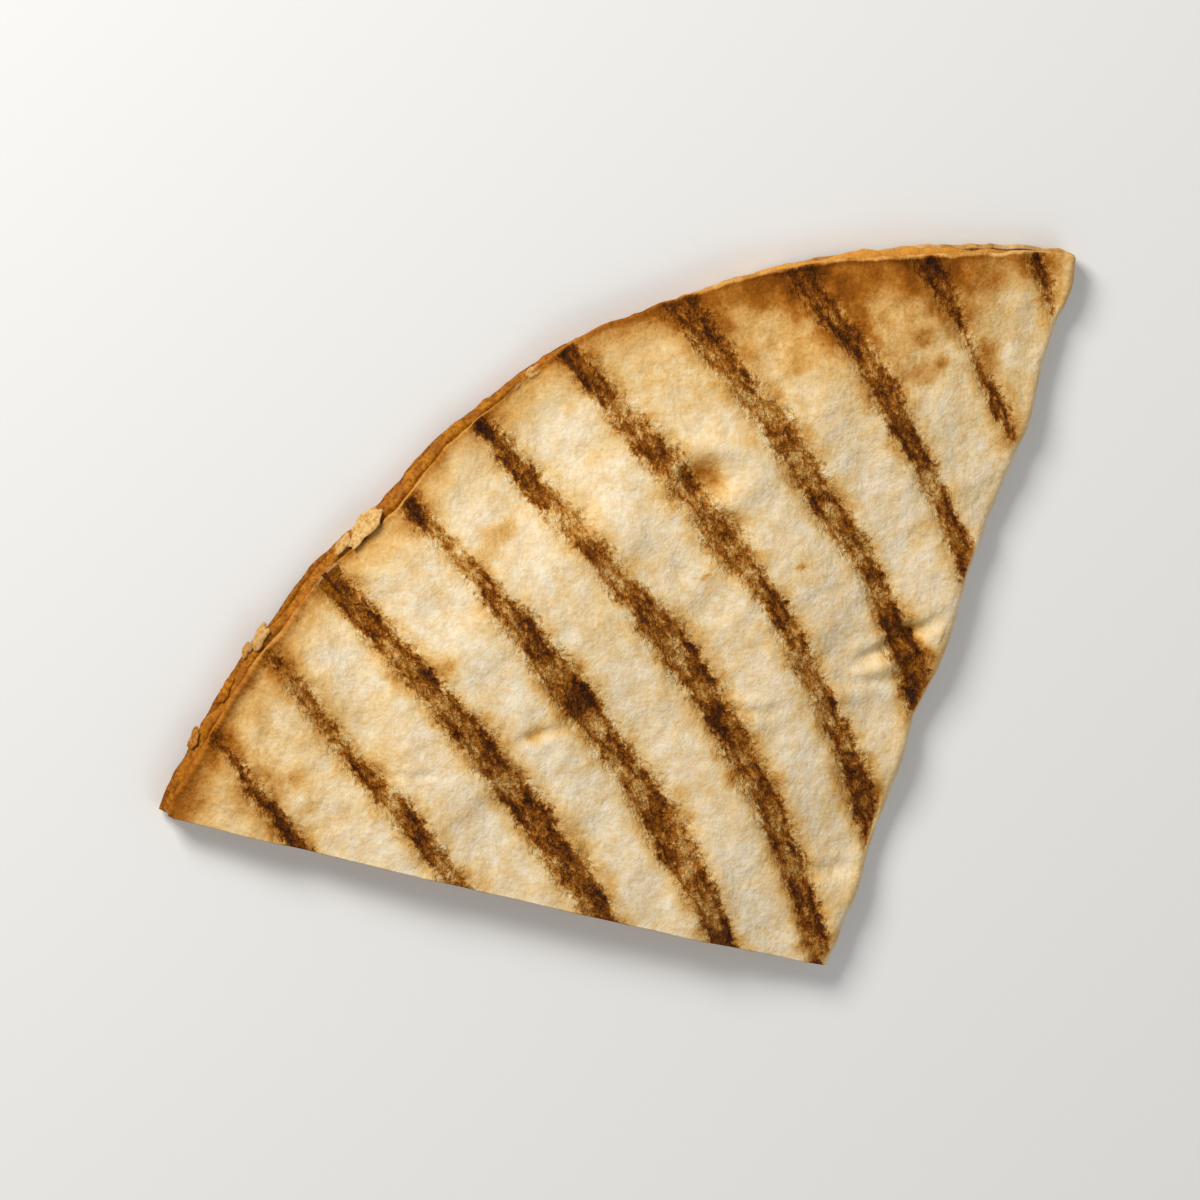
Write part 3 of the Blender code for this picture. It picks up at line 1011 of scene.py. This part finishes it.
def cheese_material():
    net = Net("melted_cheese")
    flat = net.field("flat", "Vector")
    coarse = net.noise(flat, 0.35, 3.0, 0.6)
    fine = net.noise(flat, 1.6, 4.0, 0.65)
    orange = net.mix(net.between(coarse, 0.35, 0.65), CHEESE_ORANGE, CHEESE_DEEP)
    crust = net.times(net.between(net.field("rim"), 5.0, 0.5), net.between(fine, 0.42, 0.66))
    colour = net.mix(net.times(crust, 0.8), orange, CHEESE_CRUST)
    # Brighter towards the tip, partly painted highlight, and on the cut face.
    colour = net.mix(net.field("bright"), colour, net.mix(fine, CHEESE_BRIGHT, CHEESE_BRIGHT_DEEP))
    flake = net.mix(net.between(fine, 0.4, 0.7), FLAKE, FLAKE_DEEP)
    colour = net.mix(net.field("pale"), colour, flake)
    roughness = net.between(fine, 0.3, 0.7, 0.45, 0.62)
    normal = net.bump(net.math("ADD", coarse, fine), 0.4, 0.5)
    return net.complete(colour, roughness, normal, specular=0.1,
                      scatter=0.1, scatter_colour=(1.0, 0.5, 0.15), scatter_depth=1.5)


# The camera, the floor and the lights.


def make_camera():
    camera = bpy.data.objects.new("camera", bpy.data.cameras.new("camera"))
    bpy.context.scene.collection.objects.link(camera)
    back = CAMERA_BACK.normalized()
    right = CAMERA_UP.cross(back).normalized()
    turned = Matrix((right, back.cross(right), back)).transposed().to_4x4()
    camera.matrix_world = Matrix.Translation(CAMERA_AIM + back * CAMERA_DISTANCE) @ turned
    camera.data.lens = CAMERA_LENS
    camera.data.sensor_width = CAMERA_SENSOR
    camera.data.clip_end = CAMERA_FARTHEST
    bpy.context.scene.camera = camera


def make_floor():
    mesh = bpy.data.meshes.new("floor")
    corners = [(x * FLOOR_HALF, y * FLOOR_HALF, 0) for x, y in ((-1, -1), (1, -1), (1, 1), (-1, 1))]
    mesh.from_pydata(corners, [], [(0, 1, 2, 3)])
    floor = bpy.data.objects.new("floor", mesh)
    bpy.context.scene.collection.objects.link(floor)
    net = Net("pale_floor")
    net.shader.inputs["Base Color"].default_value = FLOOR_COLOUR
    net.shader.inputs["Roughness"].default_value = 0.8
    mesh.materials.append(net.material)


def add_light(name, direction, distance, size, power, colour):
    """A square soft light that looks at the wedge from a direction."""
    data = bpy.data.lights.new(name, "AREA")
    data.size = size
    data.energy = power
    data.color = colour
    light = bpy.data.objects.new(name, data)
    bpy.context.scene.collection.objects.link(light)
    away = Vector(direction).normalized()
    light.location = away * distance
    light.rotation_mode = "QUATERNION"
    light.rotation_quaternion = away.to_track_quat("Z", "Y")


def make_lights():
    world = bpy.data.worlds.new("world")
    world.use_nodes = True
    background = world.node_tree.nodes["Background"]
    background.inputs["Color"].default_value = (1, 1, 1, 1)
    background.inputs["Strength"].default_value = WORLD_STRENGTH
    bpy.context.scene.world = world
    for light in LIGHTS:
        add_light(*light)


def main():
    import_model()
    tortilla, filling, bits = make_tortilla(), make_filling(), make_bits()
    for piece, slot in ((tortilla, "tortilla"), (filling, "filling"), (bits, "filling")):
        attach(piece, "root")
    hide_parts("tortilla")
    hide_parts("filling")
    make_floor()
    make_lights()
    make_camera()
    bpy.context.scene.view_settings.view_transform = "Standard"


main()
